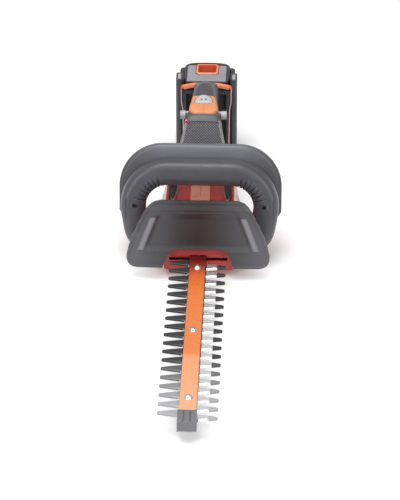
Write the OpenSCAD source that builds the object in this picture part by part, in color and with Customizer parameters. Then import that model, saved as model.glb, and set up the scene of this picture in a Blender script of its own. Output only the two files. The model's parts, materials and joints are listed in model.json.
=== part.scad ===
// Cordless hedge trimmer: double-sided reciprocating blade, hand guard, bail front handle with
// a switch bar, closed rear handle with trigger, and an upright battery dock at the back.
// Units are millimetres. +Y runs from the blade tip to the battery, +Z is up, X is across.

/* [Blade] */
// Distance between neighbouring teeth on one side
tooth_pitch = 24; // [23:0.5:24.5]
// Teeth on each side of each blade
tooth_count = 19; // [17:1:19]
// Distance across opposite tooth tips
blade_span = 89.2; // [80:0.2:92]
// Width of the painted stiffening bar
bar_width = 25.4; // [25:0.2:27]
// Thickness of each cutting blade
blade_thick = 2.2; // [2:0.1:2.2]

/* [Front handle] */
// Outside width of the front handle tube
loop_width = 254; // [246:2:264]
// Backward lean of the front handle
loop_lean = 12.7; // [10:0.5:14]
// Depth of the front handle tube from front to back
tube_depth = 44; // [40:1:46]

/* [Guard] */
// Width of the hand guard across its lower lobes
guard_width = 226; // [210:2:230]
// Thickness of the hand guard plate
guard_thick = 3.5; // [3:0.5:4]

/* [Body] */
// Wall thickness of the plastic shells
wall = 3; // [2.6:0.1:3.2]
// Width of the rear handle grip
grip_width = 42; // [38:1:46]

/* [Battery] */
// Width of the battery case
battery_width = 77; // [72:1:77]
// Height of the battery top above the floor
battery_top = 145; // [143:1:147]

/* [Hidden] */
$fn = 48;
fine = 72;
eps = 0.02;

// Blade stack
blade_z = 30;
gap = 0.2;
bar_thick = 4;
guide_thick = 3.4;
lower_z = blade_z - blade_thick - gap;
bar_z = blade_z + blade_thick + gap;
guide_z = lower_z - gap - guide_thick;
stack_top = bar_z + bar_thick;
blade_throw = 8;
strip_half = 12;
tooth_len = tooth_pitch * tooth_count;
blade_end_y = -tooth_len + tooth_pitch / 2 - 4;
bar_front_y = blade_end_y - 6;
bar_rear_y = 50;
gap_r = 3.6;
tooth_tip_half = 2.6;
bolt_step = 187.6;
first_bolt_y = -24.5;
bolt_r = 2.5;
sleeve_r = 4;
slot_r = 4.3;
tip_guard_y = blade_end_y - 18;
tip_guard_len = 31;
tip_guard_half = 14.3;

// Drive
crank_y = 82;
crank_r = 9;
shaft_r = 5;
waist_r = 2.6;
run_fit = 0.05;
gear_r = 30;
pinion_r = 6.3;
gear_teeth = 60;
pinion_teeth = 12;
motor_y = crank_y + gear_r + pinion_r + 0.4;
case_half = 38;
case_y0 = 42;
case_y1 = 146;
case_z0 = 13.2;
case_split = 36.6;
case_top = 58;
bearing_r = 11;
motor_r = 21;
motor_top = 81;

// Handle, dock and battery
dock_y0 = 412;
dock_y1 = 492;
dock_half = 47;
dock_top = 134;
rail_half = 52;
rail_top = 150;
battery_y0 = 417;
battery_depth = 70;
battery_half = battery_width / 2;
lock_y = 262;
lock_z = 163;
lens_y = 236;
lens_z = 162;
lens_r = 3;
lock_r = 4;
trigger_y = 276;
trigger_z = 154;
pivot_r = 2.5;

// Front handle loop, in its own plane: x across, y up, z towards the blade
loop_y = 70;
loop_z = 30;
tube_thick = 41;
loop_top_w = 116.5;
corner_r = 56;
top_half = loop_width / 2 - tube_thick / 2 - corner_r;
limb_turn = 10;
limb_len = 26;
curl_r = 30;
limb_w = loop_top_w - corner_r;
limb_x1 = top_half + corner_r * cos(limb_turn) - limb_len * sin(limb_turn);
limb_w1 = limb_w - corner_r * sin(limb_turn) - limb_len * cos(limb_turn);
curl_x = limb_x1 - curl_r * cos(limb_turn);
curl_w = limb_w1 + curl_r * sin(limb_turn);
loop_in_x = 55.1;
seam = 0.1;
bar_in = 116;
bar_out = 152;
bar_half = 131;
bar_low = 24;
bar_d0 = tube_depth / 2 + 4;
bar_d1 = bar_d0 + 23;
bar_pivot_w = 44;

// Guard plane
guard_y = 3.5;
guard_z = 10;
guard_lean = 9;
guard_top_w = 122;

origin_y = (dock_y1 + tip_guard_y) / 2;

dark = [0.24, 0.24, 0.27];
black = [0.10, 0.10, 0.11];
orange = [0.93, 0.33, 0.12];
steel = [0.72, 0.73, 0.75];
alloy = [0.66, 0.67, 0.69];
copper = [0.72, 0.45, 0.25];
light = [0.82, 0.82, 0.84];
red = [0.80, 0.10, 0.10];
green = [0.10, 0.35, 0.20];
lilac = [0.50, 0.50, 0.54];
blue = [0.20, 0.35, 0.55];

// ---------- helpers ----------

module place() translate([0, -origin_y, 0]) children();

module both_sides() {
    children();
    mirror([1, 0, 0]) children();
}

module slab(x, y0, y1, z0, z1) translate([-x, y0, z0]) cube([2 * x, y1 - y0, z1 - z0]);

module post(r, y, z0, z1, x = 0) translate([x, y, z0]) cylinder(r = r, h = z1 - z0);

module cross_pin(r, half, y, z) translate([-half, y, z]) rotate([0, 90, 0]) cylinder(r = r, h = 2 * half);

module rounded(w, d, r) {
    square([w, d - 2 * r], center = true);
    square([w - 2 * r, d], center = true);
    for (sx = [-1, 1], sy = [-1, 1])
        translate([sx * (w / 2 - r), sy * (d / 2 - r)]) circle(r = r);
}

module rounded_block(w, d, r, z0, z1, y) translate([0, y, z0]) linear_extrude(z1 - z0) rounded(w, d, r);

// A side-view outline (y, z) made into a slab across x
module side_slab(half) translate([-half, 0, 0]) rotate([90, 0, 90]) linear_extrude(2 * half) children();

// A front-view outline (x, z) made into a bar along y
module front_bar(y0, y1) translate([0, y1, 0]) rotate([90, 0, 0]) linear_extrude(y1 - y0) children();

module right_half() intersection() {
    children();
    translate([0.02, -600, -10]) cube([300, 1200, 400]);
}

module left_half() mirror([1, 0, 0]) right_half() mirror([1, 0, 0]) children();

function bolt_y(i) = first_bolt_y - i * bolt_step;

module bolt_holes(r) for (i = [0:2]) post(r, bolt_y(i), guide_z - 5, stack_top + 5);

// ---------- blade ----------

module bar_section() {
    half = bar_width / 2;
    polygon([[-half, 0], [half, 0], [half, bar_thick - 1.2], [half - 1.2, bar_thick],
        [1.2 - half, bar_thick], [-half, bar_thick - 1.2]]);
}

module blade_bar() color(orange) place() difference() {
    translate([0, 0, bar_z]) front_bar(bar_front_y, bar_rear_y) bar_section();
    bolt_holes(bolt_r + run_fit);
}

module guide_bar() color(steel) place() difference() {
    slab(11, bar_front_y, bar_rear_y, guide_z, guide_z + guide_thick);
    bolt_holes(bolt_r + run_fit);
}

module tooth() {
    root = tooth_pitch / 2 - gap_r;
    reach = blade_span / 2;
    x0 = strip_half - 1;
    x1 = strip_half + 4;
    polygon([[x0, -root - 1.5], [x1, -root], [reach - 1.2, -tooth_tip_half],
        [reach, 0.8 - tooth_tip_half], [reach, tooth_tip_half - 0.8],
        [reach - 1.2, tooth_tip_half], [x1, root], [x0, root + 1.5]]);
}

function tooth_y(side, i) = -i * tooth_pitch - (side > 0 ? tooth_pitch / 2 : 0);

module blade_outline() difference() {
    union() {
        translate([-strip_half, blade_end_y]) square([2 * strip_half, 70 - blade_end_y]);
        for (side = [-1, 1], i = [0:tooth_count - 1]) translate([0, tooth_y(side, i)])
            rotate(side > 0 ? 0 : 180) tooth();
        for (side = [-1, 1], i = [0:tooth_count - 2])
            translate([side * (strip_half + 1.9), tooth_y(side, i) - tooth_pitch / 2])
                square([3.9, tooth_pitch / 2], center = true);
        translate([0, crank_y]) rounded(52, 36, 4);
    }
    for (side = [-1, 1], i = [0:tooth_count - 2])
        translate([side * (strip_half + 4.2), tooth_y(side, i) - tooth_pitch / 2]) circle(r = gap_r);
    for (i = [0:2]) translate([0, bolt_y(i)]) {
        square([2 * slot_r, 2 * blade_throw], center = true);
        for (s = [-1, 1]) translate([0, s * blade_throw]) circle(r = slot_r);
    }
    translate([0, crank_y]) rounded(2 * (crank_r + blade_throw + 0.8), 2 * crank_r + 4, 3);
}

module upper_blade() color(steel) place() translate([0, 0, blade_z])
    linear_extrude(blade_thick) blade_outline();

module lower_blade() color(steel) place() translate([0, 0, lower_z])
    linear_extrude(blade_thick) blade_outline();

module bolt_head(y) difference() {
    translate([0, y, stack_top]) rotate_extrude($fn = fine)
        polygon([[0, 0], [6.6, 0], [6.6, 1], [6.2, 1.3], [4.9, 1.3], [4.9, 2.6], [3.8, 3.9],
            [2.2, 4.5], [0, 4.6]]);
    for (a = [0:60:300]) translate([0, y, stack_top + 2.8]) rotate(a) translate([1.1, 0, 0])
        cylinder(r = 0.6, h = 3, $fn = 24);
}

module blade_bolts() color(steel) place() for (i = [0:2]) {
    bolt_head(bolt_y(i));
    post(bolt_r, bolt_y(i), guide_z - 6, stack_top + eps);
}

module blade_sleeves() color(steel) place() difference() {
    for (i = [0:2]) post(sleeve_r, bolt_y(i), guide_z + guide_thick, bar_z);
    bolt_holes(bolt_r + run_fit);
}

module blade_nuts() color(steel) place() difference() {
    for (i = [0:2]) translate([0, bolt_y(i), guide_z - 4.4]) rotate(30)
        linear_extrude(4.4) circle(r = 4.6, $fn = 6);
    bolt_holes(bolt_r + run_fit);
}

module tip_guard() color(dark) place() difference() {
    slab(tip_guard_half, tip_guard_y, tip_guard_y + tip_guard_len, 21, 39);
    slab(50, tip_guard_y + 3.6, 0, lower_z - 0.3, blade_z + blade_thick + 0.2);
    slab(bar_width / 2 + 0.1, bar_front_y - 0.2, 0, bar_z - 0.3, stack_top + 0.1);
    slab(11.1, bar_front_y - 0.2, 0, guide_z - 0.1, guide_z + guide_thick + 0.3);
    for (s = [-1, 1]) translate([s * 5 - 1.1, tip_guard_y - 1, 37.4]) cube([2.2, tip_guard_len - 4, 3]);
}

// ---------- drive ----------

module case_cavity(z0, z1) {
    slab(case_half - 5, 50, case_y1 - 4, z0, z1);
    slab(strip_half + 0.8, case_y0 - 1, 52, guide_z - 0.2, stack_top + 0.1);
}

module case_screw_holes(r, z0, z1)
    for (sx = [-1, 1], y = [case_y0 + 4, case_y1 - 4]) post(r, y, z0, z1, sx * (case_half - 3.2));

module gear_case() color(alloy) place() difference() {
    slab(case_half, case_y0, case_y1, case_z0, case_split);
    case_cavity(22, case_split + 1);
    post(bearing_r + run_fit, crank_y, 15.2, 23);
    case_screw_holes(1.6, 20, case_split + 1);
}

module gear_case_lid() color(alloy) place() difference() {
    union() {
        difference() {
            slab(case_half, case_y0, case_y1, case_split, case_top);
            case_cavity(case_split - 1, 53);
        }
        post(bearing_r + 3, crank_y, 50, 54);
    }
    post(bearing_r + run_fit, crank_y, 49, 56.2);
    post(9, motor_y, 50, 60);
    case_screw_holes(1.6, case_split - 1, case_top + 1);
}

module case_screws() color(steel) place() {
    case_screw_holes(1.55, 22, case_top + eps);
    case_screw_holes(3, case_top, case_top + 2.4);
}

module crank_bearings() color(steel) place() for (z = [15.4, 50.2]) difference() {
    post(bearing_r, crank_y, z, z + 6);
    post(shaft_r + run_fit, crank_y, z - 1, z + 7);
}

// Short straight-sided teeth around a wheel
module toothed_wheel(r, teeth, h) {
    cylinder(r = r - 1.6, h = h, $fn = fine);
    for (i = [0:teeth - 1]) rotate(i * 360 / teeth)
        translate([r - 2.2, -0.6, 0]) cube([2.1, 1.2, h]);
}

module crank_gear() color(steel) place() {
    post(shaft_r, crank_y, 15.6, lower_z - gap);
    post(waist_r, crank_y, lower_z - gap - eps, bar_z + eps);
    post(shaft_r, crank_y, bar_z, 56);
    translate([blade_throw, crank_y, blade_z]) cylinder(r = crank_r, h = blade_thick, $fn = fine);
    translate([-blade_throw, crank_y, lower_z]) cylinder(r = crank_r, h = blade_thick, $fn = fine);
    post(shaft_r + 3, crank_y, 34, 39);
    translate([0, crank_y, 38.5]) difference() {
        toothed_wheel(gear_r, gear_teeth, 8);
        for (a = [0:60:300]) rotate(a) translate([17, 0, -1]) cylinder(r = 5, h = 10);
    }
}

module motor_can() color(steel) place() difference() {
    post(motor_r, motor_y, case_top, motor_top, 0, $fn = fine);
    post(motor_r - 1.6, motor_y, case_top + 2, motor_top + 1, 0, $fn = fine);
    post(6, motor_y, case_top - 1, case_top + 3);
}

module motor_cap() color(black) place() difference() {
    union() {
        post(motor_r, motor_y, motor_top, motor_top + 3);
        post(6, motor_y, motor_top - 4, motor_top + 3);
    }
    post(2.5 + run_fit, motor_y, motor_top - 5, motor_top + 2);
}

module motor_rotor() color(copper) place() {
    post(2.5, motor_y, 37.5, motor_top + 1.5);
    post(16, motor_y, 64, 73);
    post(13, motor_y, 61.5, 76);
    translate([0, motor_y, 39]) rotate(15) toothed_wheel(pinion_r, pinion_teeth, 7);
}

// ---------- body ----------

module body_side() polygon([[14, 10], [14, 36], [27, 78], [40, 86], [95, 94], [150, 104], [180, 114],
    [204, 128], [204, 4], [40, 4], [30, 10]]);

module body_top() polygon([[-52, 12], [52, 12], [61, 24], [64, 46], [64, 124], [58, 150], [36, 206],
    [-36, 206], [-58, 150], [-64, 124], [-64, 46], [-61, 24]]);

module body_front() polygon([[-44, 4], [44, 4], [55, 12], [55, 53], [64, 60], [64, 76], [56, 90],
    [50, 130], [-50, 130], [-56, 90], [-64, 76], [-64, 60], [-55, 53], [-55, 12]]);

module body_core(inset) intersection() {
    side_slab(70) offset(delta = -inset) body_side();
    translate([0, 0, 1]) linear_extrude(140) offset(delta = -inset) body_top();
    front_bar(0, 300) offset(delta = -inset) body_front();
}

module in_guard_plane() translate([0, guard_y, guard_z]) rotate([-guard_lean, 0, 0]) rotate([90, 0, 0])
    children();

module guard_posts(r, depth) in_guard_plane()
    for (sx = [-1, 1], w = [62, 84]) translate([sx * 34, w, -depth]) cylinder(r = r, h = depth);

module case_clearance() slab(case_half + 0.3, case_y0 - 0.3, case_y1 + 0.3, case_z0 - 0.2, case_top + 3);

module body_shell() difference() {
    body_core(0);
    difference() {
        body_core(wall);
        slab(70, 199, 210, 0, 60);
    }
    // blade exit slot and room for the first teeth
    slab(47, 10, 32, lower_z - 2.2, blade_z + blade_thick + 2.2);
    slab(bar_width / 2 + 0.5, 10, 32, guide_z - 0.5, stack_top + 0.6);
    // recess along the top for the spine and the side strips
    side_slab(50) polygon([[30, 76], [40, 80], [95, 88], [150, 98], [180, 108], [201, 120],
        [201, 140], [30, 140]]);
    guard_posts(5.1, 40);
    // opening into the rear handle
    slab(24, 198, 206, 66, 108);
}

module body_floor() difference() {
    intersection() {
        body_core(0);
        side_slab(50) polygon([[30, 72], [40, 76.5], [95, 84.5], [150, 94.5], [180, 104.5],
            [204, 118], [204, 122], [180, 108], [150, 98], [95, 88], [40, 80], [30, 76]]);
    }
    guard_posts(5.1, 40);
}

module boss_row(r) for (p = [[160, 20], [160, 84]])
    translate([-30, p[0], p[1]]) rotate([0, 90, 0]) cylinder(r = r, h = 60);

module housing_solid() difference() {
    union() {
        body_shell();
        body_floor();
        difference() {
            for (s = [-1, 1]) translate([s * 56, 0, 0]) intersection() {
                translate([-s * 56, 0, 0]) body_core(0);
                translate([-s * 56, 0, 0]) slab(62, 156, 164, 4, 96);
            }
            slab(24, 150, 170, 14, 104);
        }
    }
    boss_row(1.7);
}

module housing_right() color(orange) place() right_half() housing_solid();

module housing_left() color(orange) place() left_half() housing_solid();

module housing_screws() color(steel) place() for (z = [20, 84]) translate([0, 160, z]) rotate([0, 90, 0]) {
    translate([0, 0, -29]) cylinder(r = 1.65, h = 58);
}

module top_spine() color(orange) place() {
    side_slab(15.6) polygon([[34, 82], [40, 87], [95, 95], [150, 105], [180, 115], [200, 126.8],
        [200, 119.7], [180, 108.2], [150, 98.2], [95, 88.2], [40, 80.2], [34, 78.2]]);
}

module side_strips() color(dark) place() both_sides() intersection() {
    side_slab(60) polygon([[50, 87], [95, 93.4], [150, 103.4], [180, 113.4], [196, 122.5], [196, 117.4],
        [180, 108.2], [150, 98.2], [95, 88.2], [50, 81.7]]);
    translate([0, 0, 70]) linear_extrude(60)
        polygon([[43.5, 98], [49.6, 116], [47, 150], [31, 196], [26, 196], [36.5, 150], [39, 116]]);
}

module sole_plate() color(black) place() rounded_block(84, 150, 8, 2, 3.9, 118);

module front_foot() color(black) place() rounded_block(92, 24, 6, 0, 1.9, 66);

// ---------- guard ----------

module guard_outline(inset) {
    top = guard_width / 2 - 26;
    low = guard_width / 2;
    difference() {
        hull() {
            for (s = [-1, 1]) {
                translate([s * (top - 20), guard_top_w - 20]) circle(r = 20 - inset);
                translate([s * (low - 16), 27]) circle(r = 16 - inset);
                translate([s * (low - 46), 27]) circle(r = 16 - inset);
            }
        }
        hull() {
            for (s = [-1, 1]) {
                translate([s * 36, 31]) circle(r = 10 + inset);
                translate([s * 57, -4]) circle(r = 4 + inset);
            }
        }
    }
}

module guard() color(dark) place() difference() {
    union() {
        in_guard_plane() {
            translate([0, 0, 0]) linear_extrude(guard_thick) guard_outline(0);
            translate([0, 0, guard_thick - eps]) linear_extrude(2) difference() {
                guard_outline(0);
                guard_outline(7);
            }
        }
        guard_posts(5, 16);
    }
    guard_posts(1.7, 60);
}

module guard_screws() color(steel) place() in_guard_plane()
    for (sx = [-1, 1], w = [62, 84]) translate([sx * 34, w, -15]) cylinder(r = 1.65, h = 14.8);

// ---------- front handle ----------

module in_loop_plane() translate([0, loop_y, loop_z]) rotate([-loop_lean, 0, 0]) rotate([90, 0, 0])
    children();

module tube_section(inset) rounded(tube_thick - 2 * inset, tube_depth - 2 * inset, 15 - inset);

module tube_wall() difference() {
    tube_section(0);
    tube_section(wall);
}

// The loop is made of straight tubes and elbows that meet end to end over inner joiners
module loop_bar() color(dark) place() in_loop_plane()
    translate([seam - top_half, loop_top_w, 0]) rotate([90, 0, 90])
        linear_extrude(2 * (top_half - seam)) tube_wall();

module loop_elbows() color(dark) place() in_loop_plane() both_sides()
    translate([top_half, limb_w, 0]) rotate(-limb_turn)
        rotate_extrude(angle = 90 + limb_turn) translate([corner_r, 0]) tube_wall();

module loop_arms() color(dark) place() in_loop_plane() both_sides() {
    translate([limb_x1, limb_w1, 0]) rotate(-limb_turn) rotate([90, 0, 180])
        translate([0, 0, seam]) linear_extrude(limb_len - 2 * seam) tube_wall();
    translate([curl_x, curl_w, 0]) rotate(-90)
        rotate_extrude(angle = 90 - limb_turn) translate([curl_r, 0]) tube_wall();
    translate([loop_in_x, curl_w - curl_r, 0]) rotate([90, 0, 90])
        linear_extrude(curl_x - loop_in_x - seam) tube_wall();
}

module loop_joiners() color(black) place() in_loop_plane() both_sides() {
    translate([limb_x1, limb_w1, 0]) rotate(-limb_turn) rotate([90, 0, 180])
        translate([0, 0, limb_len - 9]) linear_extrude(17) tube_section(wall + 1.2);
    translate([top_half - 8, loop_top_w, 0]) rotate([90, 0, 90])
        linear_extrude(17) tube_section(wall + 1.2);
}

module switch_pivot(r, half) in_loop_plane() translate([0, bar_pivot_w, -bar_d0 - 10])
    rotate([0, 90, 0]) translate([0, 0, -half]) cylinder(r = r, h = 2 * half);

// Brackets on the back of the arms carry the pivot of the switch bar
module pivot_brackets() color(black) place() difference() {
    in_loop_plane() both_sides()
        translate([100, bar_pivot_w - 7, -bar_d0 - 17]) cube([9, 14, 20.9]);
    switch_pivot(pivot_r + run_fit, 140);
}

module bar_outline() difference() {
    union() {
        translate([-bar_half, bar_low]) square([2 * bar_half, bar_out - 70 - bar_low]);
        translate([-bar_half + 70, bar_low]) square([2 * bar_half - 140, bar_out - bar_low]);
        both_sides() translate([bar_half - 70, bar_out - 70]) circle(r = 70, $fn = fine);
    }
    translate([-bar_in, 0]) square([2 * bar_in, bar_in - 56]);
    translate([-bar_in + 56, 0]) square([2 * bar_in - 112, bar_in]);
    both_sides() translate([bar_in - 56, bar_in - 56]) circle(r = 56, $fn = fine);
    both_sides() translate([bar_in, bar_low]) polygon([[-2, -1], [20, -1], [20, 21], [13, 4]]);
}

module switch_bar() color(dark) place() {
    in_loop_plane() difference() {
        translate([0, 0, -bar_d1]) linear_extrude(bar_d1 - bar_d0) bar_outline();
        translate([0, 0, wall - bar_d1]) linear_extrude(bar_d1) offset(delta = -wall) bar_outline();
    }
    both_sides() in_loop_plane() translate([100, bar_pivot_w, -bar_d0 - 10]) rotate([0, 90, 0])
        cylinder(r = pivot_r, h = 20);
}

// ---------- rear handle ----------

module handle_outer() polygon([[204.1, 12], [204.1, 128], [212, 136], [230, 160], [238, 168], [276, 182],
    [300, 188], [322, 188.5], [345, 179.5], [375, 164.5], [402, 147], [402, 12], [392, 6], [230, 6]]);

module handle_hole() polygon([[266, 62], [260, 84], [258, 110], [262, 132], [272, 146], [330, 147],
    [352, 140], [374, 122], [386, 100], [386, 60], [378, 50], [278, 50]]);

module handle_profile() difference() {
    handle_outer();
    handle_hole();
}

module handle_plan(inset) {
    g = grip_width / 2;
    offset(delta = -inset) polygon([[-36, 203], [36, 203], [29, 232], [27, 262], [g, 300], [g, 350],
        [30, 372], [38, 403], [-38, 403], [-30, 372], [-g, 350], [-g, 300], [-27, 262], [-29, 232]]);
}

// Round-topped section of the grip, seen from the front
module handle_arch(inset) {
    translate([-40, 0]) square([80, 160]);
    translate([0, 150]) rounded(2 * (28 - inset), 2 * (40 - inset), 18);
}

module handle_core(inset) intersection() {
    side_slab(50) offset(delta = -inset) handle_profile();
    linear_extrude(200) handle_plan(inset);
    front_bar(190, 410) handle_arch(inset);
}

module pad_seat() side_slab(40) polygon([[239, 165.6], [274, 178.6], [271, 200], [232, 182]]);

// Room below the power button for its short travel
module button_pocket() intersection() {
    power_opening(0.4);
    side_slab(40) polygon([[236, 162.9], [278, 178.5], [278, 190], [236, 178]]);
}

module handle_solid() difference() {
    union() {
        difference() {
            handle_core(0);
            handle_core(wall);
        }
        // pivot walls inside the shells
        intersection() {
            handle_core(0);
            for (s = [-1, 1]) translate([s * 22, 0, 0]) slab(3, 268, 284, 128, 172);
        }
    }
    pad_seat();
    button_pocket();
    cross_pin(lock_r + run_fit, 60, lock_y, lock_z);
    lens_seat(lens_r + run_fit, -40, -20);
    cross_pin(pivot_r + run_fit, 24, trigger_y, trigger_z);
    // slot that the trigger hangs through
    slab(8.6, 256, 318, 126, 151.5);
    // openings towards the body and towards the dock
    slab(20, 200, 208, 66, 108);
    slab(16, 396, 406, 70, 130);
    for (p = [[300, 156], [250, 30], [380, 30]]) cross_pin(1.7, 60, p[0], p[1]);
}

module handle_right() color(dark) place() right_half() handle_solid();

module handle_left() color(dark) place() left_half() handle_solid();

module handle_screws() color(steel) place() for (p = [[250, 30], [380, 30]]) {
    cross_pin(1.65, 26, p[0], p[1]);
}

module handle_pad() color(orange) place() difference() {
    intersection() {
        side_slab(25) polygon([[239.3, 165.8], [274, 178.8], [272.6, 183.2], [255, 177.2], [238, 170.6]]);
        translate([0, 0, 150]) linear_extrude(60)
            polygon([[-18, 236], [18, 236], [25, 243], [25, 256], [20, 272], [14, 280], [-14, 280],
                [-20, 272], [-25, 256], [-25, 243]]);
    }
    power_opening(0.4);
}

module power_opening(grow) translate([0, 264, 166]) rotate([20.5, 0, 0]) linear_extrude(30) intersection() {
    translate([0, -7]) circle(r = 19 + grow, $fn = fine);
    translate([-24, -8 - grow]) square([48, 18 + 2 * grow]);
}

module power_button() color(light) place() intersection() {
    power_opening(0);
    side_slab(25) polygon([[240, 166.2], [274.6, 179.2], [274, 185.2], [256, 178.9], [240, 172]]);
}

module lens_seat(r, x0, x1) translate([x0, lens_y, lens_z]) rotate([0, 90, 0]) cylinder(r = r, h = x1 - x0);

module indicator_lens() color(red) place() lens_seat(lens_r, -29.2, -25.6);

module trigger_outline() difference() {
    polygon([[266, 160], [284, 160], [290, 148], [312, 143], [313, 138], [296, 133], [286, 122],
        [281, 108], [275, 106], [271, 124]]);
    translate([trigger_y, trigger_z]) circle(r = pivot_r + run_fit);
}

module throttle_trigger() color(black) place() side_slab(8) trigger_outline();

module trigger_pin() color(steel) place() cross_pin(pivot_r, 23.6, trigger_y, trigger_z);

module trigger_spring() color(steel) place() for (i = [0:3])
    translate([10.4 + i * 1.5, trigger_y, trigger_z]) rotate([0, 90, 0]) rotate_extrude()
        translate([3.4, 0]) circle(r = 0.5, $fn = 16);

module lock_lever() color(light) place() {
    cross_pin(lock_r, 33, lock_y, lock_z);
    both_sides() translate([29.4, lock_y - 3, lock_z - 1]) rotate([0, 90, 0]) cylinder(r = 7, h = 8.6);
}

module trigger_switch() color(black) place() slab(7, 292, 314, 154, 168);

module control_board() color(green) place() slab(24, 210, 252, 16, 18);

module board_parts() color(black) place() {
    slab(8, 214, 226, 18, 30);
    for (x = [-14, 14]) post(5, 240, 18, 34, x);
}

// ---------- dock and battery ----------

module dock_section(half, y0, y1, r) translate([0, (y0 + y1) / 2]) rounded(2 * half, y1 - y0, r);

module rear_block() color(black) place() difference() {
    translate([0, 0, 4]) linear_extrude(dock_top - 4) union() {
        dock_section(dock_half, dock_y0, dock_y1, 8);
        dock_section(40.5, dock_y0 - 9.8, dock_y1 - 20, 2);
    }
    translate([0, 0, 12]) linear_extrude(dock_top) dock_section(battery_half + 1.2, battery_y0 - 1.2,
        battery_y0 + battery_depth + 1.2, 8);
    // seats for the side rails
    both_sides() translate([40.6, dock_y0 - 1, 0]) cube([20, 29.6, 200]);
    slab(34, dock_y0 - 12, battery_y0 - 4, 8, dock_top - 6);
}

module side_rails() color(dark) place() both_sides() difference() {
    translate([rail_half - 5.65, dock_y0 + 14, 0]) linear_extrude(rail_top) rounded(11.3, 28, 4);
    translate([rail_half - 8.4, dock_y0 + 4, rail_top - 3]) cube([5.4, 20, 4]);
}

module rail_caps() color(light) place() both_sides()
    translate([rail_half - 8.3, dock_y0 + 4.1, rail_top - 3]) cube([5.2, 19.8, 2.6]);

module front_rim() color(orange) place() difference() {
    front_bar(402.4, 413) intersection() {
        translate([-39.5, 134.1]) square([79, 20]);
        translate([0, 26]) circle(r = 119.8, $fn = 180);
    }
    slab(battery_half + 1.2, battery_y0 - 1.2, 500, 100, 200);
}

module rear_feet() color(black) place() for (y = [424, 480]) rounded_block(78, 14, 4, 0, 3.9, y);

module terminal_block() color(copper) place() for (x = [-18, -6, 6, 18])
    translate([x - 0.6, battery_y0 + 25, 12.1]) cube([1.2, 20, 14]);

module battery_shape(inset, z0, z1) translate([0, 0, z0]) linear_extrude(z1 - z0)
    dock_section(battery_half - inset, battery_y0 + inset, battery_y0 + battery_depth - inset, 9 - inset);

module latch_pocket(grow) translate([0, battery_y0 + battery_depth - 21.8, battery_top - 25])
    linear_extrude(40) rounded(39 + 2 * grow, 39.6 + 2 * grow, 5);

module battery_case() color(black) place() difference() {
    battery_shape(0, 13.5, battery_top - 3);
    battery_shape(2.4, 30, battery_top - 30);
    latch_pocket(0.3);
    latch_hinge(pivot_r + run_fit, 23);
    // contact pockets
    for (x = [-18, -6, 6, 18]) translate([x - 2, battery_y0 + 22, 13]) cube([4, 26, 16]);
}

module battery_lid() color(lilac) place() difference() {
    battery_shape(0, battery_top - 2.9, battery_top);
    latch_pocket(0.3);
}

module battery_cells() color(blue) place()
    for (x = [-24, 0, 24], y = [battery_y0 + 15, battery_y0 + 38]) post(9.2, y, 31, 96, x);

module battery_tray() color(black) place() slab(34, battery_y0 + 4, battery_y0 + 62, 97, 99);

module battery_latch() color(orange) place() difference() {
    translate([0, battery_y0 + battery_depth - 21, battery_top - 23.6]) linear_extrude(23.4)
        rounded(38, 37, 5);
    translate([0, battery_y0 + battery_depth - 19, battery_top - 16]) linear_extrude(30)
        rounded(31, 26, 3);
    latch_hinge(pivot_r + run_fit, 40);
}

module latch_hinge(r, half) cross_pin(r, half, battery_y0 + battery_depth - 36, battery_top - 19.4);

module latch_pin() color(steel) place() latch_hinge(pivot_r, 22.6);

blade_bar();
guide_bar();
upper_blade();
lower_blade();
blade_bolts();
blade_sleeves();
blade_nuts();
tip_guard();
gear_case();
gear_case_lid();
case_screws();
crank_bearings();
crank_gear();
motor_can();
motor_cap();
motor_rotor();
housing_right();
housing_left();
housing_screws();
top_spine();
side_strips();
sole_plate();
front_foot();
guard();
guard_screws();
loop_bar();
loop_elbows();
loop_arms();
loop_joiners();
pivot_brackets();
switch_bar();
handle_right();
handle_left();
handle_screws();
handle_pad();
power_button();
indicator_lens();
throttle_trigger();
trigger_pin();
trigger_spring();
lock_lever();
trigger_switch();
control_board();
board_parts();
rear_block();
side_rails();
rail_caps();
front_rim();
rear_feet();
terminal_block();
battery_case();
battery_lid();
battery_cells();
battery_tray();
battery_latch();
latch_pin();
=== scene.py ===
import json
import math

import bmesh
import bpy
from mathutils import Matrix, Vector


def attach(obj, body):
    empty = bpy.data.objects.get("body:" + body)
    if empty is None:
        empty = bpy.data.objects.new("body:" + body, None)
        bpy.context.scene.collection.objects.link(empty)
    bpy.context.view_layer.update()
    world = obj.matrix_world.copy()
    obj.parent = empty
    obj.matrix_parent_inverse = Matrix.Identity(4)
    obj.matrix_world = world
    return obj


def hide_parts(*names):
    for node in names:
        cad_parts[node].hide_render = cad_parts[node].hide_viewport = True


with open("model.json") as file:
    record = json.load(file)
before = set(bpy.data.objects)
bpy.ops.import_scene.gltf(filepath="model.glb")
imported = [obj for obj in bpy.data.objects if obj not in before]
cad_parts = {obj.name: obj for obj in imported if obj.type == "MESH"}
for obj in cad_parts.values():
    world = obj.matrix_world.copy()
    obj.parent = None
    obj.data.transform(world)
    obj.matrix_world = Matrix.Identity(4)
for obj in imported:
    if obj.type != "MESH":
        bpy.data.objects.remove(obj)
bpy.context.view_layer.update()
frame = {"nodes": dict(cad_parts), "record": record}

# Design coordinates are millimetres from the first blade tooth; the frame is in metres
# about the middle of the tool.
MM = 0.001
ORIGIN_Y = 13.0
TOOTH_PITCH = 24.0


def at(x, y, z):
    return Vector((x * MM, (y - ORIGIN_Y) * MM, z * MM))


# ---------- materials ----------

def new_material(name, color, rough=0.5, metallic=0.0):
    mat = bpy.data.materials.new(name)
    mat.use_nodes = True
    shader = mat.node_tree.nodes["Principled BSDF"]
    shader.inputs["Base Color"].default_value = (*color, 1.0)
    shader.inputs["Roughness"].default_value = rough
    shader.inputs["Metallic"].default_value = metallic
    return mat, mat.node_tree.nodes, mat.node_tree.links, shader


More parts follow.
